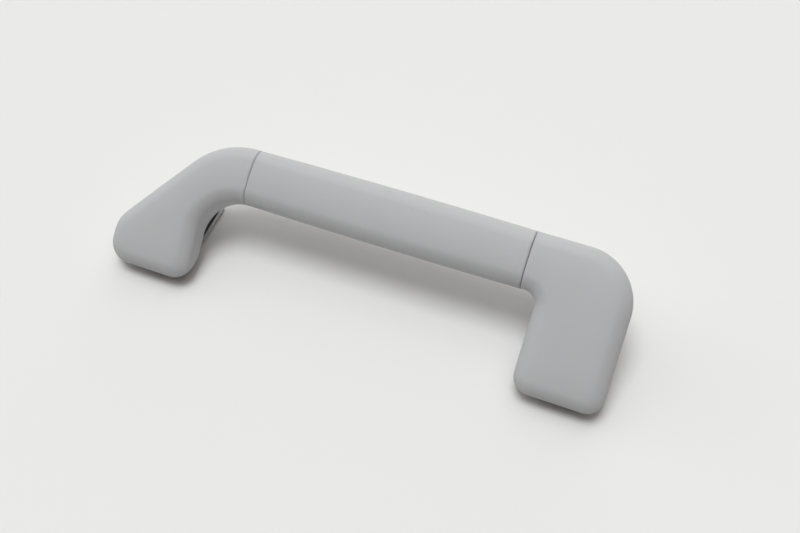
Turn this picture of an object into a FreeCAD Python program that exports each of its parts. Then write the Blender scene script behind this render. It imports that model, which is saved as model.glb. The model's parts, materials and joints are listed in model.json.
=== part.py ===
# Fold-down roof grab handle with a ribbed core, two hollow end covers and hidden roof brackets.
# Frame: z = 0 is the roof panel under the brackets, +Z points into the cabin, +X runs along the bar,
# and the origin is midway between the two roof screws. The grip is shown stowed.

import FreeCAD, Part
import math
import os
import Sketcher

Vector = FreeCAD.Vector
Rotation = FreeCAD.Rotation
Placement = FreeCAD.Placement

# Driving dimensions, in millimetres and degrees.
SIZES = {
    # bar and legs, in the plane of the grip's face
    "bar_width": 24.3,
    "bar_depth": 17.0,
    "bar_half": 62.25,
    "bar_swell": 0.45,
    "bar_split": 10.0,
    "leg_length": 64.4,
    "left_leg_reach": 36.3,
    "right_leg_reach": 25.9,
    "left_foot_width": 39.7,
    "right_foot_width": 37.5,
    "right_turn_round": 22.5,
    "right_throat_round": 5.4,
    "left_turn_reach": 18.4,
    "left_turn_round": 34.0,
    "left_shoulder_rise": 18.4,
    "left_shoulder_round": 14.0,
    "left_heel_round": 10.0,
    "left_throat_round": 17.0,
    "left_waist": 2.6,
    "foot_round": 7.5,
    "edge_round": 6.0,
    "back_round": 5.0,
    "wall": 2.8,
    "rib_height": 3.0,
    "rib_bite": 0.5,
    "rib_drop": 8.0,
    "rib_pitch": 6.0,
    "seam_gap": 0.3,
    "crown_radius": 420.0,
    "crown_setback": 36.4,
    "overcut": 10.0,
    # how the stowed grip stands over the roof
    "face_tilt": 32.5,
    "pivot_back": 28.25,
    "pivot_height": 8.35,
    "rim_height": 7.0,
    # hinge
    "pivot_setback": 7.2,
    "pivot_depth": 8.4,
    "pin_radius": 2.0,
    "pin_half": 13.3,
    "pin_head_radius": 3.4,
    "pin_head_length": 1.2,
    "groove_depth": 0.4,
    "eye_radius": 4.0,
    "grip_eye_inside": 8.5,
    "grip_eye_width": 3.0,
    "roof_ear_inside": 4.6,
    "roof_ear_width": 3.0,
    "bush_wall": 0.9,
    "bush_flange": 0.6,
    "bush_flange_radius": 3.9,
    "running_fit": 0.05,
    "press_fit": 0.02,
    "hole_play": 0.2,
    "clip_radius": 3.3,
    "clip_thickness": 0.8,
    "clip_mouth": 2.8,
    # core
    "core_clearance": 0.5,
    "core_plate_depth": 9.5,
    "core_plate": 2.5,
    "core_plate_setback": 18.4,
    "arm_overlap": 4.0,
    "beam_depth": 8.5,
    "beam_top": 4.5,
    "beam_edge": 6.0,
    "beam_wall": 2.0,
    "beam_rib_pitch": 15.5,
    "beam_overrun": 11.0,
    # roof brackets and their clip-on covers
    "base_width": 28.5,
    "base_back": 21.0,
    "base_front": 12.0,
    "base_plate": 3.0,
    "base_round": 3.0,
    "trim_wall": 1.2,
    "trim_height": 4.4,
    "bridge_half": 4.0,
    "roof_screw_radius": 3.25,
    "cup_half": 8.5,
    "cup_wall": 1.5,
    "cup_height": 4.0,
    "lid_thickness": 1.6,
    "lid_round": 0.8,
    "lid_skirt": 1.5,
    "buffer_radius": 3.0,
    "buffer_y": -13.4,
    "seat_gap": 0.3,
    # spring and damper
    "spring_wire": 0.9,
    "spring_radius": 3.1,
    "spring_turns": 5.0,
    "spring_foot_lap": 5.0,
    "spring_arm_lap": 2.0,
    "damper_radius": 3.9,
    "damper_wall": 0.9,
    "damper_length": 6.0,
    "damper_lap": 3.0,
    "rotor_wall": 0.65,
    "rotor_collar_wall": 1.6,
    "rotor_start": 2.6,
    "rotor_lever": 7.0,
    "lever_thickness": 1.6,
    "lever_width": 2.2,
    "fork_width": 7.2,
    "fork_depth": 4.5,
    "seal_width": 1.0,
    # fixing screws
    "screw_radius": 1.25,
    "screw_head_radius": 2.6,
    "screw_head": 1.6,
    "screw_socket": 0.95,
    "screw_grip": 4.5,
    "boss_radius": 2.9,
    "cover_screw_setback": 25.4,
    "cover_screw_half": 4.8,
    "bar_screw_pitch": 50.0,
}

doc = FreeCAD.newDocument("RoofGrabHandle")
sheet = doc.addObject("Spreadsheet::Sheet", "Sizes")
for row, (alias, size) in enumerate(SIZES.items(), start=1):
    sheet.set("A%d" % row, str(size))
    sheet.setAlias("A%d" % row, alias)
doc.recompute()


def size(alias):
    """Value of one driving dimension, read back from the sheet."""
    return float(sheet.get(alias))


def number(text):
    """Value of a signed sum of sizes and plain numbers, such as 'bar_width - wall'."""
    total = 0.0
    sign = 1.0
    for token in text.split():
        if token in ("+", "-"):
            sign = 1.0 if token == "+" else -1.0
            continue
        name, _, divisor = token.partition("/")
        value = size(name) if name in SIZES else float(name)
        total += sign * value / (float(divisor) if divisor else 1.0)
        sign = 1.0
    return total


def formula(text):
    """The same sum as an expression on the sheet."""
    words = []
    for token in text.split():
        name = token.partition("/")[0]
        words.append("Sizes." + token if name in SIZES else token)
    return " ".join(words)


def minus(text):
    """The same sum with every sign turned round."""
    turned = {"+": "-", "-": "+"}
    return "0 - " + " ".join(turned.get(token, token) for token in text.split())


# Lines that several pieces share, as sums of sizes.
SPREAD = "bar_half + seam_gap/2 + left_leg_reach/2 + right_leg_reach/2"
FOOT = {"left": minus(SPREAD), "right": SPREAD}
BAR_CENTRE = "left_leg_reach/2 - right_leg_reach/2"
SEAM = {
    "left": BAR_CENTRE + " - bar_half - seam_gap/2",
    "right": BAR_CENTRE + " + bar_half + seam_gap/2",
}
PIVOT = ("pivot_setback - leg_length", "0 - pivot_depth")
COVER_SCREW_Y = "cover_screw_setback - leg_length"
PAIR = (" - cover_screw_half", " + cover_screw_half")
BAR_SCREWS = (" - bar_screw_pitch", "", " + bar_screw_pitch")

# The face's own frame: x along the bar, y from the bar's outer edge, z out of the face.
TILT = math.radians(size("face_tilt"))
DROP = -number(PIVOT[0])
DEPTH = size("pivot_depth")
FACE = Placement(
    Vector(
        0,
        DROP * math.cos(TILT) - DEPTH * math.sin(TILT) - size("pivot_back"),
        DROP * math.sin(TILT) + DEPTH * math.cos(TILT) + size("pivot_height"),
    ),
    Rotation(Vector(1, 0, 0), size("face_tilt")),
)
FACE_Y = (
    "(Sizes.leg_length - Sizes.pivot_setback) * cos(Sizes.face_tilt)"
    " - Sizes.pivot_depth * sin(Sizes.face_tilt) - Sizes.pivot_back"
)
FACE_Z = (
    "(Sizes.leg_length - Sizes.pivot_setback) * sin(Sizes.face_tilt)"
    " + Sizes.pivot_depth * cos(Sizes.face_tilt) + Sizes.pivot_height"
)


def on_face(shape_object):
    """Puts an object drawn in the face's own frame onto the tilted face of the stowed grip."""
    shape_object.setExpression("Placement.Base.y", FACE_Y)
    shape_object.setExpression("Placement.Base.z", FACE_Z)
    shape_object.Placement = FACE
    shape_object.setExpression("Placement.Rotation.Angle", "Sizes.face_tilt")
    return shape_object


def carried(name, *parts):
    """Parts drawn in the face's frame, put onto the tilted face together."""
    group = doc.addObject("Part::Compound", name)
    group.Links = list(parts)
    return on_face(group)


def bind(shape_object, **texts):
    """Binds properties of an object to sums of sizes; place_x and the like bind its position."""
    for key, text in texts.items():
        target = "Placement.Base." + key[-1] if key.startswith("place_") else key
        shape_object.setExpression(target, formula(text))
    return shape_object


def box(name, x, y, z, length, width, height):
    """Box from its lowest corner and its three sides."""
    block = doc.addObject("Part::Box", name)
    bind(block, place_x=x, place_y=y, place_z=z, Length=length, Width=width, Height=height)
    return block


def wide_box(name, middle, half, y, z, width, height):
    """Box that reaches as far to both sides of a middle along X."""
    return box(name, middle + minus(half)[1:], y, z, half + " + " + half, width, height)


def rod(name, x, y, z, radius, length, axis="x"):
    """Cylinder that starts at a point and runs along +X, or along +Z."""
    cylinder = doc.addObject("Part::Cylinder", name)
    if axis == "x":
        cylinder.Placement = Placement(Vector(), Rotation(Vector(0, 1, 0), 90))
    bind(cylinder, place_x=x, place_y=y, place_z=z, Radius=radius, Height=length)
    return cylinder


def fuse(name, *parts):
    union = doc.addObject("Part::MultiFuse", name)
    union.Shapes = list(parts)
    return union


def common(name, *parts):
    shared = doc.addObject("Part::MultiCommon", name)
    shared.Shapes = list(parts)
    return shared


def cut(name, base, *tools):
    """Base less the tools."""
    result = doc.addObject("Part::Cut", name)
    result.Base = base
    result.Tool = tools[0] if len(tools) == 1 else fuse(name + "_tools", *tools)
    return result


def hold(sketch, kind, index, point, text):
    """Dimension of one sketch point, from the sketch's origin, bound to the sheet."""
    held = sketch.addConstraint(Sketcher.Constraint(kind, index, point, number(text)))
    sketch.setExpression("Constraints[%d]" % held, formula(text))


def polygon(name, corners):
    """Closed sketch with every corner held by the sheet; corners are pairs of sums."""
    sketch = doc.addObject("Sketcher::SketchObject", name)
    points = [Vector(number(x), number(y), 0) for x, y in corners]
    count = len(points)
    for index in range(count):
        sketch.addGeometry(Part.LineSegment(points[index], points[(index + 1) % count]))
    for index in range(count):
        sketch.addConstraint(Sketcher.Constraint("Coincident", index, 2, (index + 1) % count, 1))
    for index, (x, y) in enumerate(corners):
        hold(sketch, "DistanceX", index, 1, x)
        hold(sketch, "DistanceY", index, 1, y)
    return sketch


def extrude(name, sketch, start, length, direction=Vector(0, 0, -1)):
    """Prism of a sketch, from a start depth and over a length, away from the face."""
    prism = doc.addObject("Part::Extrusion", name)
    prism.Base = sketch
    prism.DirMode = "Custom"
    prism.Dir = direction
    prism.Solid = True
    bind(prism, LengthFwd=start + " + " + length, LengthRev="0 - " + start)
    return prism


def fillet(name, base, rounds):
    """Rounded copy of a base; rounds pairs a test on an edge with a radius."""
    doc.recompute()
    rounded = doc.addObject("Part::Fillet", name)
    rounded.Base = base
    chosen = []
    for wanted, radius in rounds:
        for index, edge in enumerate(base.Shape.Edges, start=1):
            if wanted(edge):
                chosen.append((index, radius, radius))
    rounded.Edges = chosen
    doc.recompute()
    return rounded


def upright(edge):
    """True for a straight edge along Z."""
    bounds = edge.BoundBox
    return bounds.ZLength > max(bounds.XLength, bounds.YLength)


BULGE = 1
HOLLOW = -1
SIDE_SHARE = 0.97


def nearest_upright(shape, x, y):
    """Number of the edge across the face that stands nearest to one corner of an outline."""
    best = None
    for index, edge in enumerate(shape.Edges, start=1):
        if len(edge.Vertexes) != 2 or not upright(edge):
            continue
        end = edge.Vertexes[0].Point
        away = math.hypot(end.x - x, end.y - y)
        if best is None or away < best[0]:
            best = (away, index)
    return best[1]


def round_corners(name, base, corners, rounds, inset):
    """Rounds a prism's corners, each no more than its two sides allow; inset is the prism's own."""
    doc.recompute()
    edges = [nearest_upright(base.Shape, number(x), number(y)) for x, y in corners]
    places = [base.Shape.Edges[edge - 1].Vertexes[0].Point for edge in edges]
    count = len(places)
    radii = []
    reaches = []
    for index, turn in enumerate(rounds):
        before = places[index].sub(places[index - 1])
        after = places[(index + 1) % count].sub(places[index])
        before.z = after.z = 0
        radius = 0.0
        if turn is not None:
            alias, bulge = turn
            radius = size(alias) - (inset if bulge == BULGE else 0.0)
        radii.append(radius)
        reaches.append(radius * math.tan(before.getAngle(after) / 2))
    for index in range(count):
        other = (index + 1) % count
        apart = places[other].sub(places[index])
        apart.z = 0
        need = reaches[index] + reaches[other]
        share = min(1.0, SIDE_SHARE * apart.Length / need) if need else 1.0
        for corner in (index, other):
            radii[corner] *= share
            reaches[corner] *= share
    rounded = doc.addObject("Part::Fillet", name)
    rounded.Base = base
    rounded.Edges = [(edge, radius, radius) for edge, radius in zip(edges, radii) if radius > 0]
    doc.recompute()
    return rounded


def crown(name, inset, low_x, length):
    """Large cylinder along the bar that gives the face its slight crown."""
    radius = "crown_radius - " + inset
    return rod(name, low_x, "crown_setback - leg_length", "0 - crown_radius", radius, length)


def rim_edges(shape, radius, depth, seam_x):
    """Edges round the crowned front and round the flat back, without those at the seam."""
    close = 0.01
    front = []
    back = []
    for face in shape.Faces:
        kind = face.Surface.TypeId
        if kind == "Part::GeomCylinder" and abs(face.Surface.Radius - radius) < close:
            front += face.Edges
        elif kind == "Part::GeomPlane" and abs(face.BoundBox.ZMax + depth) < close:
            back += face.Edges

    def beside(edges):
        def wanted(edge):
            bounds = edge.BoundBox
            if any(bounds.XLength < close and abs(bounds.XMin - x) < close for x in seam_x):
                return False
            return any(edge.isSame(other) for other in edges)
        return wanted

    return beside(front), beside(back)


OUTLINE = {
    "right": [
        (SEAM["right"], "0"),
        (FOOT["right"] + " + right_foot_width/2", "0"),
        (FOOT["right"] + " + right_foot_width/2", "0 - leg_length"),
        (FOOT["right"] + " - right_foot_width/2", "0 - leg_length"),
        (FOOT["right"] + " - right_foot_width/2", "0 - bar_width"),
        (SEAM["right"], "0 - bar_width"),
    ],
    "left": [
        (SEAM["left"], "0"),
        (SEAM["left"] + " - left_turn_reach", "0"),
        (FOOT["left"] + " - left_foot_width/2", "left_shoulder_rise - leg_length"),
        (FOOT["left"] + " - left_foot_width/2", "0 - leg_length"),
        (FOOT["left"] + " + left_foot_width/2", "0 - leg_length"),
        (FOOT["left"] + " + left_foot_width/2 - left_waist", "0 - bar_width"),
        (SEAM["left"], "0 - bar_width"),
    ],
}
ROUNDS = {
    "right": [
        None,
        ("right_turn_round", BULGE),
        ("foot_round", BULGE),
        ("foot_round", BULGE),
        ("right_throat_round", HOLLOW),
        None,
    ],
    "left": [
        None,
        ("left_turn_round", BULGE),
        ("left_shoulder_round", BULGE),
        ("left_heel_round", BULGE),
        ("foot_round", BULGE),
        ("left_throat_round", HOLLOW),
        None,
    ],
}
TURNS = ("right_turn_round", "left_turn_round", "left_shoulder_round")
OUTLINE_SKETCH = {side: polygon(side + "_outline", OUTLINE[side]) for side in OUTLINE}


def inset_outline(name, side, inset):
    """Outline of one end, moved inwards by a sum of sizes."""
    moved = doc.addObject("Part::Offset2D", name)
    moved.Source = OUTLINE_SKETCH[side]
    moved.Mode = 1
    moved.Join = 2
    moved.Value = -number(inset)
    moved.setExpression("Value", "-(" + formula(inset) + ")")
    return moved


def end_cover(side):
    """Hollow moulded end: bar section at the seam, open-backed leg, two screw bosses."""
    name = side + "_end_cover"
    foot = FOOT[side]
    low_x = foot + " - leg_length"
    run = "leg_length + leg_length"
    prism = extrude(name + "_prism", OUTLINE_SKETCH[side], "0", "bar_depth")
    turned = round_corners(name + "_turned", prism, OUTLINE[side], ROUNDS[side], 0)
    crowned = common(name + "_crowned", turned, crown(name + "_crown", "0", low_x, run))
    doc.recompute()
    front, back = rim_edges(crowned.Shape, size("crown_radius"), size("bar_depth"), [number(SEAM[side])])
    skin = fillet(name + "_skin", crowned, [(front, size("edge_round")), (back, size("back_round"))])

    inner = inset_outline(name + "_inner", side, "wall")
    hollow = extrude(name + "_hollow", inner, "0", "bar_depth - wall")
    hollow_turned = round_corners(
        name + "_hollow_turned", hollow, OUTLINE[side], ROUNDS[side], size("wall")
    )
    cavity = common(name + "_cavity", hollow_turned, crown(name + "_hollow_crown", "wall", low_x, run))

    deep = extrude(name + "_deep", inner, "bar_split", "bar_depth")
    deep_turned = round_corners(
        name + "_deep_turned", deep, OUTLINE[side], ROUNDS[side], size("wall")
    )
    window = box(
        name + "_window", low_x, "0 - leg_length", "0 - bar_depth - overcut",
        run, "leg_length - bar_width - back_round", "bar_depth",
    )
    mouth = common(name + "_mouth", deep_turned, window)
    passage = box(
        name + "_passage", SEAM[side] + " - wall - wall", "wall - bar_width", "wall - bar_depth",
        "wall + wall + wall + wall", "bar_width - wall - wall", "bar_depth - wall - wall - wall/2",
    )
    shell = cut(name + "_shell", skin, cavity, mouth, passage)

    bosses = []
    pilots = []
    for index, shift in enumerate(PAIR):
        place = (foot + shift, COVER_SCREW_Y, "0 - core_plate_depth")
        tag = "%s_boss_%d" % (name, index)
        bosses.append(rod(tag, *place, "boss_radius", "core_plate_depth - wall", "z"))
        pilots.append(rod(
            tag + "_pilot", *place, "screw_radius + press_fit", "screw_grip + seat_gap", "z"
        ))
    ribs = []
    for index, further in enumerate(("", " - rib_pitch")):
        bar = box(
            "%s_rib_bar_%d" % (name, index), low_x, "0 - bar_width - rib_drop" + further,
            "0 - wall - rib_height", run, "wall/2", "rib_height + rib_bite",
        )
        ribs.append(common("%s_rib_%d" % (name, index), bar, hollow_turned))
    ribbed = fuse(name + "_ribbed", shell, *bosses, *ribs)
    bored = on_face(cut(name + "_bored", ribbed, *pilots))
    below = box(
        name + "_below_rim", low_x, "0 - pivot_back - leg_length", "rim_height - leg_length",
        run, "leg_length + leg_length", "leg_length",
    )
    return cut(name, bored, below)


SWELL_RADIUS = (
    "((Sizes.bar_half - Sizes.seam_gap / 2) ^ 2 + Sizes.bar_swell ^ 2) / (2 * Sizes.bar_swell)"
)


def bar_outline():
    """Sketch of the bar's face, a rectangle whose long sides swell a little."""
    sketch = doc.addObject("Sketcher::SketchObject", "bar_outline")
    low = BAR_CENTRE + " - bar_half + seam_gap/2"
    high = BAR_CENTRE + " + bar_half - seam_gap/2"
    corners = [(low, "0"), (high, "0"), (high, "0 - bar_width"), (low, "0 - bar_width")]
    points = [Vector(number(x), number(y), 0) for x, y in corners]
    middle = number(BAR_CENTRE)
    swell = size("bar_swell")
    chord = size("bar_half") - size("seam_gap") / 2
    swell_radius = (chord * chord + swell * swell) / (2 * swell)
    sketch.addGeometry(Part.Arc(points[0], Vector(middle, swell, 0), points[1]))
    sketch.addGeometry(Part.LineSegment(points[1], points[2]))
    sketch.addGeometry(Part.Arc(points[2], Vector(middle, -size("bar_width") - swell, 0), points[3]))
    sketch.addGeometry(Part.LineSegment(points[3], points[0]))
    arc_ends = [(0, 2), (0, 1), (2, 2), (2, 1)]
    joins = [(0, 1, 1, 1), (1, 2, 2, 2), (2, 1, 3, 1), (3, 2, 0, 2)]
    for join in joins:
        sketch.addConstraint(Sketcher.Constraint("Coincident", *join))
    for (index, point), (x, y) in zip(arc_ends, corners):
        hold(sketch, "DistanceX", index, point, x)
        hold(sketch, "DistanceY", index, point, y)
    for index in (0, 2):
        held = sketch.addConstraint(Sketcher.Constraint("Radius", index, swell_radius))
        sketch.setExpression("Constraints[%d]" % held, SWELL_RADIUS)
    return sketch


def bar_shells():
    """Front and back shells of the bar, split all round and ribbed to sit on the core."""
    low_x = BAR_CENTRE + " - bar_half - overcut"
    run = "bar_half + bar_half + overcut + overcut"
    deep = "bar_width + overcut + overcut"
    prism = extrude("bar_prism", bar_outline(), "0", "bar_depth")
    crowned = common("bar_crowned", prism, crown("bar_crown", "0", low_x, run))
    doc.recompute()
    ends = [number(SEAM["left"] + " + seam_gap"), number(SEAM["right"] + " - seam_gap")]
    front, back = rim_edges(crowned.Shape, size("crown_radius"), size("bar_depth"), ends)
    skin = fillet("bar_skin", crowned, [(front, size("edge_round")), (back, size("back_round"))])
    channel_block = box(
        "bar_channel_block", low_x, "wall - bar_width", "wall - bar_depth",
        run, "bar_width - wall - wall", "bar_depth - wall - wall - wall/2",
    )
    lengthwise = size("bar_half")
    inner_round = size("edge_round") - size("wall")
    channel = fillet(
        "bar_channel", channel_block, [(lambda edge: edge.BoundBox.XLength > lengthwise, inner_round)]
    )
    tube = cut("bar_tube", skin, channel)
    behind = box(
        "bar_behind", low_x, "0 - bar_width - overcut", "0 - bar_split - bar_depth", run, deep, "bar_depth",
    )
    ahead = box(
        "bar_ahead", low_x, "0 - bar_width - overcut", "0 - bar_split - press_fit", run, deep, "bar_depth",
    )
    front_half = cut("bar_front_half", tube, behind)
    back_half = cut("bar_back_half", tube, ahead)

    front_ribs = []
    back_ribs = []
    count = int(size("bar_half") * 2 / size("beam_rib_pitch"))
    for index in range(count):
        rib_x = BAR_CENTRE + " + %.4f" % ((index - (count - 1) / 2) * size("beam_rib_pitch"))
        side = (rib_x + " - wall/4", "wall - rib_bite - bar_width")
        span = ("wall/2", "bar_width - wall - wall + rib_bite + rib_bite")
        front_ribs.append(box(
            "bar_front_rib_%d" % index, *side, "seat_gap - beam_top",
            *span, "beam_top - seat_gap - wall",
        ))
        back_ribs.append(box(
            "bar_back_rib_%d" % index, *side, "wall - rib_bite - bar_depth",
            *span, "bar_depth - beam_top - beam_depth - seat_gap - wall + rib_bite",
        ))

    screw_holes = []
    for index, shift in enumerate(BAR_SCREWS):
        place = (BAR_CENTRE + shift, "0 - bar_width/2", "0 - bar_depth - wall")
        screw_holes.append(rod(
            "bar_back_hole_%d" % index, *place, "screw_radius + hole_play", "wall + wall + wall", "z"
        ))
        screw_holes.append(rod(
            "bar_back_sink_%d" % index, *place,
            "screw_head_radius + hole_play", "wall + screw_head + press_fit", "z",
        ))
    front_shell = on_face(fuse("bar_front_shell", front_half, *front_ribs))
    back_shell = on_face(cut("bar_back_shell", fuse("bar_back_body", back_half, *back_ribs), *screw_holes))
    return front_shell, back_shell


def grip_core():
    """Ribbed beam along the bar, a plate down each leg and two hinge eyes in each foot."""
    start = BAR_CENTRE + " - bar_half - beam_overrun"
    run = "bar_half + bar_half + beam_overrun + beam_overrun"
    beam = box(
        "core_beam", start, "beam_edge - bar_width", "0 - beam_top - beam_depth",
        run, "bar_width - beam_edge - beam_edge", "beam_depth",
    )
    pockets = []
    count = int(number(run) / size("beam_rib_pitch"))
    slack = number(run) - count * size("beam_rib_pitch")
    for index in range(count):
        shift = slack / 2 + index * size("beam_rib_pitch")
        pockets.append(box(
            "core_pocket_%d" % index, start + " + beam_wall/2 + %.4f" % shift,
            "beam_wall + beam_edge - bar_width", "0 - beam_top - beam_depth - beam_wall",
            "beam_rib_pitch - beam_wall", "bar_width - beam_edge - beam_edge - beam_wall - beam_wall",
            "beam_depth",
        ))
    pieces = [cut("core_channel", beam, *pockets)]
    holes = []
    for index, shift in enumerate(BAR_SCREWS):
        place = (BAR_CENTRE + shift, "0 - bar_width/2", "0 - beam_top - beam_depth")
        pieces.append(rod("core_post_%d" % index, *place, "boss_radius", "beam_depth", "z"))
        holes.append(rod(
            "core_post_hole_%d" % index, *place, "screw_radius + press_fit", "screw_grip + wall", "z"
        ))
    for side, foot in FOOT.items():
        inset = inset_outline(side + "_core_inner", side, "wall + core_clearance")
        plate = extrude(side + "_core_plate_prism", inset, "core_plate_depth", "core_plate")
        wanted = [turn if turn and turn[0] in TURNS else None for turn in ROUNDS[side]]
        turned = round_corners(
            side + "_core_plate_turned", plate, OUTLINE[side], wanted, number("wall + core_clearance")
        )
        keep = box(
            side + "_core_plate_keep", foot + " - leg_length", "core_plate_setback - leg_length",
            "0 - bar_depth", "leg_length + leg_length", "leg_length - core_plate_setback", "bar_depth",
        )
        pieces.append(common(side + "_core_plate", turned, keep))
        for index, low in enumerate(("grip_eye_inside", "0 - grip_eye_inside - grip_eye_width")):
            arm_x = foot + " + " + low
            pieces.append(box(
                "%s_core_arm_%d" % (side, index), arm_x, PIVOT[0], "0 - pivot_depth - eye_radius",
                "grip_eye_width", "core_plate_setback - pivot_setback + arm_overlap",
                "eye_radius + eye_radius",
            ))
            pieces.append(rod(
                "%s_core_eye_%d" % (side, index), arm_x, *PIVOT, "eye_radius", "grip_eye_width",
            ))
        holes.append(rod(
            side + "_core_bore", foot + " - pin_half", *PIVOT,
            "pin_radius + running_fit + bush_wall + press_fit", "pin_half + pin_half",
        ))
        for index, shift in enumerate(PAIR):
            holes.append(rod(
                "%s_core_hole_%d" % (side, index), foot + shift, COVER_SCREW_Y, "0 - bar_depth",
                "screw_radius + hole_play", "bar_depth", "z",
            ))
    fork_x = FOOT["right"] + " + rotor_start - hole_play"
    fork_thickness = "lever_thickness + hole_play + hole_play"
    pieces.append(box(
        "core_fork", fork_x, "rotor_lever - fork_depth/2 + pivot_setback - leg_length",
        "0 - pivot_depth - fork_width/2", fork_thickness,
        "core_plate_setback - pivot_setback - rotor_lever + fork_depth/2 + arm_overlap", "fork_width",
    ))
    holes.append(box(
        "core_fork_slot", fork_x + " - press_fit", "rotor_lever - fork_depth + pivot_setback - leg_length",
        "0 - pivot_depth - lever_width/2 - running_fit", fork_thickness + " + press_fit + press_fit",
        "fork_depth + seat_gap", "lever_width + running_fit + running_fit",
    ))
    return on_face(cut("grip_core", fuse("core_body", *pieces), *holes))


def hinge(side):
    """Pivot pin, its clip and the two flanged bushes of one foot."""
    foot = FOOT[side]
    shank = rod(side + "_pin_shank", foot + " - pin_half", *PIVOT, "pin_radius", "pin_half + pin_half")
    head = rod(side + "_pin_head", foot + " - pin_half", *PIVOT, "pin_head_radius", "pin_head_length")
    groove_x = foot + " + grip_eye_inside + grip_eye_width + running_fit + running_fit"
    groove_ring = rod(
        side + "_pin_groove_ring", groove_x, *PIVOT, "pin_radius + groove_depth", "clip_thickness"
    )
    groove_core = rod(
        side + "_pin_groove_core", groove_x, *PIVOT, "pin_radius - groove_depth", "clip_thickness"
    )
    groove = cut(side + "_pin_groove", groove_ring, groove_core)
    pin = on_face(cut(side + "_pivot_pin", fuse(side + "_pin_body", shank, head), groove))

    disc = rod(
        side + "_clip_disc", groove_x + " + press_fit", *PIVOT,
        "clip_radius", "clip_thickness - press_fit - press_fit",
    )
    bore = rod(
        side + "_clip_bore", groove_x, *PIVOT, "pin_radius - groove_depth + running_fit", "clip_thickness"
    )
    slot = box(
        side + "_clip_slot", groove_x, "pivot_setback - clip_mouth/2 - leg_length",
        "0 - pivot_depth - clip_radius - clip_thickness",
        "clip_thickness", "clip_mouth", "clip_radius + clip_thickness",
    )
    clip = on_face(cut(side + "_pin_clip", disc, bore, slot))

    bushes = []
    inner_is_right = side == "left"
    for right_hand in (True, False):
        place = "inner" if right_hand == inner_is_right else "outer"
        low = "grip_eye_inside" if right_hand else "0 - grip_eye_inside - grip_eye_width"
        flange_low = "grip_eye_inside - bush_flange" if right_hand else "0 - grip_eye_inside"
        name = "%s_%s_bush" % (side, place)
        sleeve = rod(
            name + "_sleeve", foot + " + " + low, *PIVOT,
            "pin_radius + running_fit + bush_wall", "grip_eye_width",
        )
        flange = rod(name + "_flange", foot + " + " + flange_low, *PIVOT, "bush_flange_radius", "bush_flange")
        bore = rod(
            name + "_bore", foot + " - pin_half", *PIVOT, "pin_radius + running_fit", "pin_half + pin_half"
        )
        bushes.append(on_face(cut(name, fuse(name + "_body", sleeve, flange), bore)))
    return [pin, clip] + bushes


def roof_bracket(side):
    """Moulded base on the roof: plate, two ears round the pin, and a cup round the roof screw."""
    name = side + "_roof_bracket"
    foot = FOOT[side]
    slab = wide_box(
        name + "_slab", foot, "base_width/2 - trim_wall - seat_gap", "0 - base_back", "0",
        "base_back + base_front - trim_wall - seat_gap", "base_plate",
    )
    front_corner = [(lambda edge: upright(edge) and edge.BoundBox.YMin > 0, size("base_round"))]
    pieces = [fillet(name + "_plate", slab, front_corner)]
    ear_corners = [
        ("0 - pivot_back", "pivot_height - eye_radius"),
        ("0 - base_back", "0"),
        ("0 - base_back/4", "0"),
        ("0 - base_back/4", "base_plate"),
        ("eye_radius/2 - pivot_back", "pivot_height + eye_radius - eye_radius/6"),
        ("0 - pivot_back", "pivot_height + eye_radius"),
    ]
    for index, low in enumerate(("roof_ear_inside", "0 - roof_ear_inside - roof_ear_width")):
        ear_x = foot + " + " + low
        sketch = polygon("%s_ear_%d" % (name, index), ear_corners)
        sketch.Placement = Placement(Vector(number(ear_x), 0, 0), Rotation(Vector(1, 1, 1), 120))
        sketch.setExpression("Placement.Base.x", formula(ear_x))
        web = extrude("%s_ear_web_%d" % (name, index), sketch, "0", "roof_ear_width", Vector(1, 0, 0))
        pieces.append(web)
        eye = rod("%s_eye_rod_%d" % (name, index), ear_x, *PIVOT, "eye_radius", "roof_ear_width")
        pieces.append(carried("%s_eye_%d" % (name, index), eye))
    pieces.append(wide_box(
        name + "_cup", foot, "cup_half", "0 - cup_half", "base_plate", "cup_half + cup_half", "cup_height",
    ))
    cup_bore = box(
        name + "_cup_bore", foot + " - cup_half + cup_wall", "cup_wall - cup_half", "base_plate",
        "cup_half + cup_half - cup_wall - cup_wall", "cup_half + cup_half - cup_wall - cup_wall",
        "cup_height + overcut",
    )
    screw_hole = rod(
        name + "_screw_hole", foot, "0", "0 - base_plate", "roof_screw_radius",
        "base_plate + base_plate + base_plate", "z",
    )
    pin_rod = rod(
        name + "_pin_rod", foot + " - pin_half", *PIVOT, "pin_radius + press_fit", "pin_half + pin_half"
    )
    pin_hole = carried(name + "_pin_hole", pin_rod)
    return cut(name, fuse(name + "_body", *pieces), cup_bore, screw_hole, pin_hole)


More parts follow.
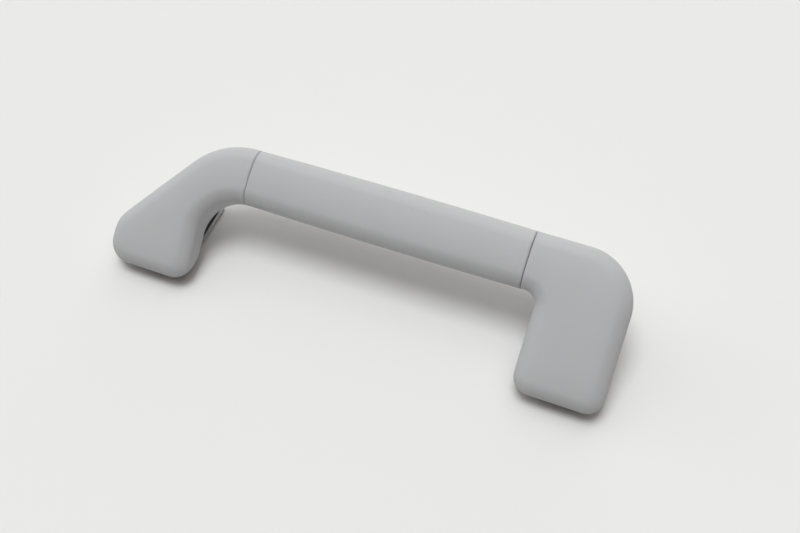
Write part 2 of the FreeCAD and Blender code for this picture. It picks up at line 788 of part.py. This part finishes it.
def screw_cover(side):
    """Cover clipped over a bracket: a lid in the screw's cup, bridged to a surround on three sides."""
    name = side + "_screw_cover"
    foot = FOOT[side]
    top = "base_plate + cup_height"
    lid = box(
        name + "_lid", foot + " - cup_half", "0 - cup_half", top,
        "cup_half + cup_half", "cup_half + cup_half", "lid_thickness",
    )
    above = number(top) + size("lid_thickness") / 2
    eased = fillet(name + "_eased", lid, [(lambda edge: edge.BoundBox.ZMin > above, size("lid_round"))])
    inside = "cup_half + cup_half - cup_wall - cup_wall - running_fit - running_fit"
    skirt = box(
        name + "_skirt", foot + " - cup_half + cup_wall + running_fit",
        "cup_wall + running_fit - cup_half", top + " - lid_skirt", inside, inside, "lid_skirt",
    )
    hollow = "cup_half + cup_half - cup_wall - cup_wall - cup_wall - cup_wall"
    well = box(
        name + "_well", foot + " - cup_half + cup_wall + cup_wall", "cup_wall + cup_wall - cup_half",
        top + " - lid_skirt", hollow, hollow, "lid_skirt",
    )
    plug = cut(name + "_plug", fuse(name + "_plug_body", eased, skirt), well)

    block = wide_box(
        name + "_block", foot, "base_width/2", "0 - base_back", "seat_gap",
        "base_back + base_front", "trim_height - seat_gap",
    )
    inner = wide_box(
        name + "_inner", foot, "base_width/2 - trim_wall", "0 - base_back - overcut", "0",
        "base_back + overcut + base_front - trim_wall", "trim_height + overcut",
    )
    outer_corner = [(lambda edge: upright(edge) and edge.BoundBox.YMin > 0, size("base_round"))]
    surround = cut(name + "_surround", fillet(name + "_block_round", block, outer_corner), inner)
    flat = wide_box(
        name + "_bridge_flat", foot, "bridge_half", "cup_half + press_fit", "base_plate + press_fit",
        "base_front - cup_half - trim_wall/2", "trim_wall",
    )
    rise = wide_box(
        name + "_bridge_rise", foot, "bridge_half", "cup_half + press_fit", "base_plate + press_fit",
        "trim_wall", "cup_height + lid_thickness - lid_round",
    )
    tie = wide_box(
        name + "_bridge_tie", foot, "bridge_half", "cup_half - trim_wall", top,
        "trim_wall + trim_wall", "lid_thickness - lid_round",
    )
    return fuse(name, plug, surround, flat, rise, tie)


def stop_buffer(side):
    """Domed rubber stop on the bracket, just under the core plate of the stowed grip."""
    name = side + "_stop_buffer"
    foot = FOOT[side]
    under = number("core_plate_depth + core_plate + seat_gap + buffer_radius")
    back = size("buffer_y") - FACE.Base.y
    centre = "%.6f" % (FACE.Base.z + (back * math.sin(TILT) - under) / math.cos(TILT))
    stem = rod(name + "_stem", foot, "buffer_y", "base_plate", "buffer_radius", centre + " - base_plate", "z")
    dome = doc.addObject("Part::Sphere", name + "_dome")
    bind(dome, place_x=foot, place_y="buffer_y", place_z=centre, Radius="buffer_radius")
    return fuse(name, stem, dome)


def damper():
    """Rotary damper on the right pin: fixed housing, keyed rotor and a ring seal."""
    foot = FOOT["right"]
    low = foot + " - roof_ear_inside + seat_gap"
    shell = rod("damper_shell", low, *PIVOT, "damper_radius", "damper_length")
    chamber = rod(
        "damper_chamber", low + " + damper_wall", *PIVOT, "damper_radius - damper_wall", "damper_length"
    )
    through = rod(
        "damper_through", low + " - damper_wall", *PIVOT, "pin_radius + running_fit",
        "damper_length + damper_length",
    )
    foot_block = box(
        "damper_foot", low, "damper_radius/1.5 - pivot_back", "base_plate + press_fit",
        "damper_length - damper_wall", "pivot_back - damper_radius/1.5 - base_back + damper_lap",
        "pivot_height - base_plate - damper_wall",
    )
    body = fuse("damper_body", carried("damper_barrel", shell), foot_block)
    housing = cut("damper_housing", body, carried("damper_inside", chamber, through))

    vane_radius = "damper_radius - damper_wall - running_fit - running_fit"
    rotor_low = low + " + damper_wall + running_fit"
    rotor_x = foot + " + rotor_start"
    drum = rod("rotor_drum", rotor_low, *PIVOT, vane_radius, "damper_length/2 - seal_width/2")
    reach = number(rotor_x + " + lever_thickness") - number(rotor_low)
    neck = rod("rotor_neck", rotor_low, *PIVOT, "pin_radius + rotor_wall", "%.6f" % reach)
    lever = box(
        "rotor_lever_arm", rotor_x, PIVOT[0], "0 - pivot_depth - lever_width/2",
        "lever_thickness", "rotor_lever", "lever_width",
    )
    collar = rod("rotor_collar", rotor_x, *PIVOT, "pin_radius + rotor_collar_wall", "lever_thickness")
    rotor_bore = rod(
        "rotor_bore", foot + " - pin_half", *PIVOT, "pin_radius + running_fit", "pin_half + pin_half"
    )
    rotor = on_face(cut("damper_rotor", fuse("rotor_body", drum, neck, collar, lever), rotor_bore))

    seal_x = rotor_low + " + damper_length/2"
    ring = rod("seal_ring", seal_x, *PIVOT, "damper_radius - damper_wall - press_fit", "seal_width")
    seal_bore = rod("seal_bore", seal_x, *PIVOT, "pin_radius + rotor_wall + running_fit", "seal_width")
    seal = on_face(cut("damper_seal", ring, seal_bore))
    return [housing, rotor, seal]


def return_spring():
    """Torsion spring on the left pin: a coil, one leg on the core plate and one on the bracket."""
    foot_x = number(FOOT["left"])
    wire = size("spring_wire") / 2
    radius = size("spring_radius")
    turns = size("spring_turns")
    width = 2 * (size("roof_ear_inside") - wire - size("seat_gap"))
    pitch = (width - 2 * wire) / turns
    path = Part.makeHelix(pitch, pitch * turns, radius)
    corners = []
    for angle in range(0, 361, 45):
        turn = math.radians(angle + 22.5)
        corners.append(Vector(radius + wire * math.cos(turn), 0, wire * math.sin(turn)))
    coil = Part.Wire(path.Edges).makePipeShell([Part.makePolygon(corners)], True, True)
    low_x = foot_x - pitch * turns / 2
    local = Placement(Vector(low_x, number(PIVOT[0]), number(PIVOT[1])), Rotation(Vector(0, 1, 0), 90))
    coil.Placement = FACE.multiply(local)

    def leg(start, end):
        along = end.sub(start)
        return Part.makeCylinder(0.97 * wire, along.Length, start, along)

    start_low = FACE.multiply(local).multVec(Vector(radius, 0, 0))
    start_high = FACE.multiply(local).multVec(Vector(radius, 0, pitch * turns))
    play = size("running_fit")
    rest_low = Vector(
        start_low.x, number("spring_foot_lap - base_back"), size("base_plate") + wire + play
    )
    plate_top = wire + 2 * play - number("core_plate_depth - seat_gap")
    rest_high = FACE.multVec(Vector(
        start_high.x, number("spring_arm_lap + core_plate_setback - leg_length"), plate_top
    ))
    spring = doc.addObject("Part::Feature", "return_spring")
    spring.Shape = coil.fuse([leg(start_low, rest_low), leg(start_high, rest_high)])
    return spring


def screw(name, x, y, z, length):
    """Pan-head screw that points up the face's normal, with its head below."""
    head = rod(name + "_head", x, y, z + " - screw_head", "screw_head_radius", "screw_head", "z")
    shank = rod(name + "_shank", x, y, z, "screw_radius", length, "z")
    drive = rod(name + "_drive", x, y, z + " - screw_head", "screw_socket", "screw_head/2", "z")
    return cut(name, fuse(name + "_body", head, shank), drive)


def cover_screws(side):
    seat = "0 - core_plate_depth - core_plate"
    pair = []
    for index, shift in enumerate(PAIR):
        place = (FOOT[side] + shift, COVER_SCREW_Y, seat)
        pair.append(screw("%s_cover_screw_%d" % (side, index), *place, "core_plate + screw_grip"))
    return on_face(fuse(side + "_cover_screws", *pair))


def bar_screws():
    row = []
    for index, shift in enumerate(BAR_SCREWS):
        place = (BAR_CENTRE + shift, "0 - bar_width/2", "screw_head - bar_depth")
        row.append(screw("bar_screw_%d" % index, *place, "wall + screw_grip"))
    return on_face(fuse("bar_shell_screws", *row))


handle = [end_cover("left"), end_cover("right"), *bar_shells(), grip_core()]
for hand in ("left", "right"):
    handle += hinge(hand)
    handle += [roof_bracket(hand), screw_cover(hand), stop_buffer(hand), cover_screws(hand)]
handle += [*damper(), return_spring(), bar_screws()]
for piece in handle:
    piece.Label = piece.Name
doc.recompute()

failed = [item.Name for item in doc.Objects if {"Invalid", "Error"} & set(item.State)]
if failed:
    raise RuntimeError("failed objects: " + ", ".join(failed))
for piece in handle:
    if piece.Shape.isNull() or not piece.Shape.isValid():
        raise RuntimeError("bad shape: " + piece.Name)

os.makedirs("parts", exist_ok=True)
for piece in handle:
    piece.Shape.exportStep("parts/%s.step" % piece.Label)
    print("%-20s solids %d  volume %.1f" % (piece.Label, len(piece.Shape.Solids), piece.Shape.Volume))
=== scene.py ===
import json
import math

import bmesh
import bpy
import numpy as np
from mathutils import Matrix, Vector


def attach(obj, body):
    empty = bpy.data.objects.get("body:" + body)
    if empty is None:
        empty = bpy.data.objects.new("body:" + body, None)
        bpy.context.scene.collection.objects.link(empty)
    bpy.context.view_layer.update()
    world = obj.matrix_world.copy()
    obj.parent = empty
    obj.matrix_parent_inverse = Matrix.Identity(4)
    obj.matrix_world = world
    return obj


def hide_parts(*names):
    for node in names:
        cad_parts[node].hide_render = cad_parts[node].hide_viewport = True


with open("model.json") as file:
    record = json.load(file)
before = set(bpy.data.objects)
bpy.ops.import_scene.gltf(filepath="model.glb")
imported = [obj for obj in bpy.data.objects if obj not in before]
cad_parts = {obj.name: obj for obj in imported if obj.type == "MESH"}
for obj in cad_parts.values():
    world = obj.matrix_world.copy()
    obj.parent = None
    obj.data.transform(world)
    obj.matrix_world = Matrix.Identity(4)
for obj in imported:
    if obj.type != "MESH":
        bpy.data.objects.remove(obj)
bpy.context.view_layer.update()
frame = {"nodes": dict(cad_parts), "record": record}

# The photograph's view, fitted to the handle's outline; metres, in the part's frame.
CAMERA_PLACE = (0.11962, -0.22354, 0.37168)
CAMERA_RIGHT = (0.92661, 0.37383, -0.04062)
CAMERA_UP = (-0.28651, 0.77185, 0.56759)
FOCAL_PIXELS = 1015.4
PHOTO_WIDTH = 800.0
SENSOR_WIDTH = 36.0
NEAREST = 0.01


def look():
    """Camera at the photograph's angle."""
    camera = bpy.data.cameras.new("photo_camera")
    camera.sensor_width = SENSOR_WIDTH
    camera.lens = SENSOR_WIDTH * FOCAL_PIXELS / PHOTO_WIDTH
    camera.clip_start = NEAREST
    item = bpy.data.objects.new("photo_camera", camera)
    right = Vector(CAMERA_RIGHT).normalized()
    up = Vector(CAMERA_UP)
    up = (up - right * up.dot(right)).normalized()
    back = right.cross(up)
    turn = Matrix((right, up, back)).transposed()
    item.matrix_world = Matrix.Translation(CAMERA_PLACE) @ turn.to_4x4()
    bpy.context.scene.collection.objects.link(item)
    bpy.context.scene.camera = item


SPECULAR = 0.25
CLOUD_SCALE = 60.0
CLOUD_DETAIL = 4.0
GLOSS_SWING = 0.04
PEBBLE_DETAIL = 2.0
PEBBLE_HEIGHT = 0.00008


def plastic(name, colour, roughness, grain=0.15, scale=2600.0, mottle=0.03):
    """Moulded plastic: fine grain in the bump, slight cloudiness in the colour and gloss."""
    material = bpy.data.materials.new(name)
    material.use_nodes = True
    nodes = material.node_tree.nodes
    links = material.node_tree.links
    shader = nodes["Principled BSDF"]
    shader.inputs["Specular IOR Level"].default_value = SPECULAR
    place = nodes.new("ShaderNodeTexCoord")
    cloud = nodes.new("ShaderNodeTexNoise")
    cloud.inputs["Scale"].default_value = CLOUD_SCALE
    cloud.inputs["Detail"].default_value = CLOUD_DETAIL
    links.new(place.outputs["Object"], cloud.inputs["Vector"])
    tint = nodes.new("ShaderNodeMix")
    tint.data_type = "RGBA"
    tint.inputs["A"].default_value = (*[c * (1 - mottle) for c in colour], 1)
    tint.inputs["B"].default_value = (*[c * (1 + mottle) for c in colour], 1)
    links.new(cloud.outputs["Fac"], tint.inputs["Factor"])
    links.new(tint.outputs["Result"], shader.inputs["Base Color"])
    gloss = nodes.new("ShaderNodeMapRange")
    gloss.inputs["To Min"].default_value = roughness - GLOSS_SWING
    gloss.inputs["To Max"].default_value = roughness + GLOSS_SWING
    links.new(cloud.outputs["Fac"], gloss.inputs["Value"])
    links.new(gloss.outputs["Result"], shader.inputs["Roughness"])
    pebble = nodes.new("ShaderNodeTexNoise")
    pebble.inputs["Scale"].default_value = scale
    pebble.inputs["Detail"].default_value = PEBBLE_DETAIL
    links.new(place.outputs["Object"], pebble.inputs["Vector"])
    bump = nodes.new("ShaderNodeBump")
    bump.inputs["Strength"].default_value = grain
    bump.inputs["Distance"].default_value = PEBBLE_HEIGHT
    links.new(pebble.outputs["Fac"], bump.inputs["Height"])
    links.new(bump.outputs["Normal"], shader.inputs["Normal"])
    return material


def metal(name, colour, roughness):
    """Zinc-plated steel with faint drawing marks."""
    material = plastic(name, colour, roughness, grain=0.1, scale=900.0, mottle=0.08)
    material.node_tree.nodes["Principled BSDF"].inputs["Metallic"].default_value = 1.0
    return material


MATERIALS = {
    "grip_plastic": plastic("grip_plastic", (0.482, 0.483, 0.498), 0.6),
    "core_plastic": plastic("core_plastic", (0.06, 0.06, 0.065), 0.55, grain=0.3),
    "trim_plastic": plastic("trim_plastic", (0.52, 0.525, 0.53), 0.5, grain=0.1),
    "bracket_plastic": plastic("bracket_plastic", (0.055, 0.055, 0.058), 0.5, grain=0.25),
    "bush_plastic": plastic("bush_plastic", (0.8, 0.8, 0.76), 0.35, grain=0.05),
    "damper_plastic": plastic("damper_plastic", (0.03, 0.03, 0.033), 0.4, grain=0.1),
    "rubber": plastic("rubber", (0.02, 0.02, 0.02), 0.75, grain=0.3),
    "steel": metal("steel", (0.62, 0.63, 0.64), 0.35),
}

# The grip's face: its tilt, the place of the bar's top edge, and its outline with corner rounds.
# The outline is in metres, across and down the face, and repeats the part's own sizes.
FACE_TILT = math.radians(32.5)
FACE_SINE, FACE_COSINE = math.sin(FACE_TILT), math.cos(FACE_TILT)
FACE_PLACE = (0.01548, 0.04617)
FACE_OUTLINE = (
    (0.11225, 0.0, 0.0225), (0.11225, -0.0644, 0.0075), (0.07475, -0.0644, 0.0075),
    (0.07475, -0.0243, 0.0054), (-0.07625, -0.0243, 0.017), (-0.07365, -0.0644, 0.0075),
    (-0.11335, -0.0644, 0.010), (-0.11335, -0.0460, 0.014), (-0.0756, 0.0, 0.034),
)
ARC_STEPS = 10
# The drop's scale, how far it reaches in from the outline, and how deep under the face it ends.
PILLOW_DROP = 0.0020
PILLOW_REACH = 0.0055
PILLOW_DEPTH = 0.0100
PILLOW_LIMIT = 1.4
BELL_WIDTHS = 4
MESH_STEP = 0.0016
SPLIT_PASSES = 9
CELL = 0.0005
MARGIN = 0.020
WELD = 1e-7
SKIN_CREASE = math.radians(35)
SKINS = ("bar_front_shell", "left_end_cover", "right_end_cover")


def rounded_outline():
    """The outline as a closed run of points, each corner an arc between its two sides."""
    points = []
    corners = [(np.array(row[:2]), row[2]) for row in FACE_OUTLINE]
    for index, (corner, radius) in enumerate(corners):
        before = corners[index - 1][0] - corner
        after = corners[(index + 1) % len(corners)][0] - corner
        before = before / np.linalg.norm(before)
        after = after / np.linalg.norm(after)
        half = math.acos(float(before @ after)) / 2
        inward = (before + after) / np.linalg.norm(before + after)
        middle = corner + inward * radius / math.sin(half)
        start = corner + before * radius / math.tan(half) - middle
        end = corner + after * radius / math.tan(half) - middle
        sweep = math.pi - 2 * half
        for step in range(ARC_STEPS + 1):
            share = step / ARC_STEPS
            arm = math.sin((1 - share) * sweep) * start + math.sin(share * sweep) * end
            points.append(middle + arm / math.sin(sweep))
    return np.array(points)


def pillow():
    """Grid over the face of how far it drops: least in the middle, most beyond its edges."""
    outline = rounded_outline()
    low = outline.min(axis=0) - MARGIN
    high = outline.max(axis=0) + MARGIN
    across = np.arange(low[0], high[0], CELL)
    along = np.arange(low[1], high[1], CELL)
    inside = np.zeros((len(along), len(across)), bool)
    for start, end in zip(outline, np.roll(outline, -1, axis=0)):
        crossed = (start[1] > along) != (end[1] > along)
        run = end[1] - start[1] if end[1] != start[1] else 1.0
        at = start[0] + (along - start[1]) * (end[0] - start[0]) / run
        inside ^= crossed[:, None] & (across[None, :] < at[:, None])
    reach = int(BELL_WIDTHS * PILLOW_REACH / CELL)
    bell = np.exp(-0.5 * (np.arange(-reach, reach + 1) * CELL / PILLOW_REACH) ** 2)
    bell /= bell.sum()
    blurred = inside.astype(float)
    for axis in (0, 1):
        blurred = np.apply_along_axis(
            lambda line: np.convolve(line, bell, mode="same"), axis, blurred
        )
    return low, PILLOW_DROP * np.clip(2 * (1 - blurred), 0, PILLOW_LIMIT)


def depth_of(point):
    """How far a point lies under the plane of the face."""
    return (point.y - FACE_PLACE[0]) * FACE_SINE - (point.z - FACE_PLACE[1]) * FACE_COSINE


def refine(work):
    """Splits the long edges near the face, so that it can bend smoothly."""
    for _ in range(SPLIT_PASSES):
        long_edges = [
            edge for edge in work.edges
            if edge.calc_length() > MESH_STEP
            and min(depth_of(vert.co) for vert in edge.verts) < PILLOW_DEPTH
        ]
        if not long_edges:
            break
        bmesh.ops.subdivide_edges(work, edges=long_edges, cuts=1)
        bmesh.ops.triangulate(work, faces=[face for face in work.faces if len(face.verts) > 3])


def drop_at(point, low, drop):
    """The grid's drop at a point, blended between the four nearest cells."""
    along = (point.y - FACE_PLACE[0]) * FACE_COSINE + (point.z - FACE_PLACE[1]) * FACE_SINE
    column = (point.x - low[0]) / CELL
    row = (along - low[1]) / CELL
    left, under = int(column), int(row)
    part, rest = column - left, row - under
    return (
        (drop[under, left] * (1 - part) + drop[under, left + 1] * part) * (1 - rest)
        + (drop[under + 1, left] * (1 - part) + drop[under + 1, left + 1] * part) * rest
    )


def soften():
    """Outer skins of the grip whose face sinks gently towards its edges."""
    low, drop = pillow()
    for node in SKINS:
        mesh = frame["nodes"][node].data.copy()
        mesh.name = "soft_" + node
        work = bmesh.new()
        work.from_mesh(mesh)
        bmesh.ops.remove_doubles(work, verts=work.verts[:], dist=WELD)
        bmesh.ops.triangulate(work, faces=work.faces[:])
        refine(work)
        for vert in work.verts:
            depth = depth_of(vert.co)
            if depth >= PILLOW_DEPTH:
                continue
            sink = drop_at(vert.co, low, drop) * (1 - max(depth, 0.0) / PILLOW_DEPTH) ** 2
            vert.co.y += sink * FACE_SINE
            vert.co.z -= sink * FACE_COSINE
        work.normal_update()
        work.to_mesh(mesh)
        work.free()
        mesh.shade_smooth()
        mesh.set_sharp_from_angle(angle=SKIN_CREASE)
        mesh.materials.clear()
        mesh.materials.append(MATERIALS["grip_plastic"])
        skin = bpy.data.objects.new("soft_" + node, mesh)
        bpy.context.scene.collection.objects.link(skin)
        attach(skin, "grip")
        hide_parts(node)


def finish_nodes():
    """Every carried-over piece gets the material of its slot."""
    slots = {row["node"]: row["material_slot"] for row in frame["record"]["subparts"]}
    for node, slot in slots.items():
        item = frame["nodes"][node]
        item.data.materials.clear()
        item.data.materials.append(MATERIALS[slot])


# The screw covers: the bracket's place, the bridge's and the surround's half widths, the surround's
# wall, where its back side starts, and the height that its sides are lowered to.
FOOT_PLACE = 0.0935
BRIDGE_HALF = 0.0045
SURROUND_HALF = 0.01425
SURROUND_WALL = 0.0012
SURROUND_BACK = 0.0105
SURROUND_HEIGHT = 0.0017
SIDE_SLACK = 0.0002
BRIDGE_SLACK = 0.0005
CUT_SLACK = 1e-6
COVER_CREASE = math.radians(30)


def lower_surrounds():
    """Screw covers whose thin surround drops away from the bridge, as low as in the photograph."""
    for node, place in (("left_screw_cover", -FOOT_PLACE), ("right_screw_cover", FOOT_PLACE)):
        mesh = frame["nodes"][node].data.copy()
        mesh.name = "low_" + node
        work = bmesh.new()
        work.from_mesh(mesh)
        bmesh.ops.remove_doubles(work, verts=work.verts[:], dist=WELD)
        for offset in (-BRIDGE_HALF, BRIDGE_HALF):
            bmesh.ops.bisect_plane(
                work, geom=work.verts[:] + work.edges[:] + work.faces[:],
                plane_co=(place + offset, 0, 0), plane_no=(1, 0, 0), dist=CUT_SLACK,
            )
        for vert in work.verts:
            across = abs(vert.co.x - place)
            on_side = across > SURROUND_HALF - SURROUND_WALL - SIDE_SLACK
            on_back = across > BRIDGE_HALF + BRIDGE_SLACK and vert.co.y > SURROUND_BACK
            if on_side or on_back:
                vert.co.z = min(vert.co.z, SURROUND_HEIGHT)
        bmesh.ops.triangulate(work, faces=work.faces[:])
        work.normal_update()
        work.to_mesh(mesh)
        work.free()
        mesh.shade_smooth()
        mesh.set_sharp_from_angle(angle=COVER_CREASE)
        mesh.materials.clear()
        mesh.materials.append(MATERIALS["trim_plastic"])
        cover = bpy.data.objects.new("low_" + node, mesh)
        bpy.context.scene.collection.objects.link(cover)
        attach(cover, "roof_side")
        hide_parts(node)


FLOOR_COLOUR = (0.775, 0.773, 0.772)
FLOOR_ROUGHNESS = 0.9
FLOOR_REACH = 12.0
# Soft far lights: name, the way each comes from, how wide it looks in degrees, strength, colour.
LIGHTS = (
    ("softbox", (-0.15, 0.05, 1.5), 30.0, 1.52, (0.94, 0.98, 1.0)),
    ("ceiling", (0.0, 0.1, 1.5), 78.0, 1.00, (1.0, 0.95, 0.89)),
    ("window", (-0.1, 1.0, 1.3), 43.0, 0.33, (0.96, 0.98, 1.0)),
    ("far_wall", (0.0, 1.6, 0.6), 50.0, 0.60, (1.0, 0.97, 0.92)),
    ("left_wall", (-1.5, 0.2, 1.0), 45.0, 0.48, (1.0, 1.0, 0.94)),
)
# The room's dim light from below and above, and the pale backdrop that is seen in its place.
SKY_LOW = (0.42, 0.40, 0.37)
SKY_TOP = (0.95, 0.94, 0.92)
SKY_TOP_AT = 0.8
ROOM = 0.06
BACKDROP = (0.78, 0.78, 0.775)


def lay_floor():
    """Plain pale floor under the part."""
    mesh = bpy.data.meshes.new("floor")
    reach = FLOOR_REACH
    corners = [(-reach, -reach, 0), (reach, -reach, 0), (reach, reach, 0), (-reach, reach, 0)]
    mesh.from_pydata(corners, [], [(0, 1, 2, 3)])
    floor = bpy.data.objects.new("floor", mesh)
    bpy.context.scene.collection.objects.link(floor)
    paper = plastic("floor_paper", FLOOR_COLOUR, FLOOR_ROUGHNESS, grain=0.0, mottle=0.004)
    floor.data.materials.append(paper)


def hang_lights():
    """Five wide, soft lights, far enough to light the whole floor alike."""
    for name, way, width, strength, colour in LIGHTS:
        lamp = bpy.data.lights.new(name, "SUN")
        lamp.angle = math.radians(width)
        lamp.energy = strength
        lamp.color = colour
        item = bpy.data.objects.new(name, lamp)
        item.location = way
        item.rotation_euler = Vector(way).to_track_quat("Z", "Y").to_euler()
        bpy.context.scene.collection.objects.link(item)


def paint_room():
    """Dim room, darker towards the floor, that is seen as a plain pale backdrop."""
    world = bpy.data.worlds.new("room")
    world.use_nodes = True
    nodes = world.node_tree.nodes
    links = world.node_tree.links
    way = nodes.new("ShaderNodeTexCoord")
    parts = nodes.new("ShaderNodeSeparateXYZ")
    links.new(way.outputs["Generated"], parts.inputs["Vector"])
    rise = nodes.new("ShaderNodeValToRGB")
    rise.color_ramp.elements[0].position = 0.0
    rise.color_ramp.elements[0].color = (*SKY_LOW, 1)
    rise.color_ramp.elements[1].position = SKY_TOP_AT
    rise.color_ramp.elements[1].color = (*SKY_TOP, 1)
    links.new(parts.outputs["Z"], rise.inputs["Fac"])
    dim = nodes["Background"]
    links.new(rise.outputs["Color"], dim.inputs["Color"])
    dim.inputs["Strength"].default_value = ROOM
    pale = nodes.new("ShaderNodeBackground")
    pale.inputs["Color"].default_value = (*BACKDROP, 1)
    ray = nodes.new("ShaderNodeLightPath")
    seen = ray.outputs["Is Camera Ray"]
    for kind in ("Is Glossy Ray", "Is Transmission Ray"):
        also = nodes.new("ShaderNodeMath")
        also.operation = "MAXIMUM"
        links.new(seen, also.inputs[0])
        links.new(ray.outputs[kind], also.inputs[1])
        seen = also.outputs[0]
    either = nodes.new("ShaderNodeMixShader")
    links.new(seen, either.inputs["Fac"])
    links.new(dim.outputs[0], either.inputs[1])
    links.new(pale.outputs[0], either.inputs[2])
    links.new(either.outputs[0], nodes["World Output"].inputs["Surface"])
    bpy.context.scene.world = world


look()
finish_nodes()
soften()
lower_surrounds()
lay_floor()
hang_lights()
paint_room()
bpy.context.scene.view_settings.view_transform = "Standard"
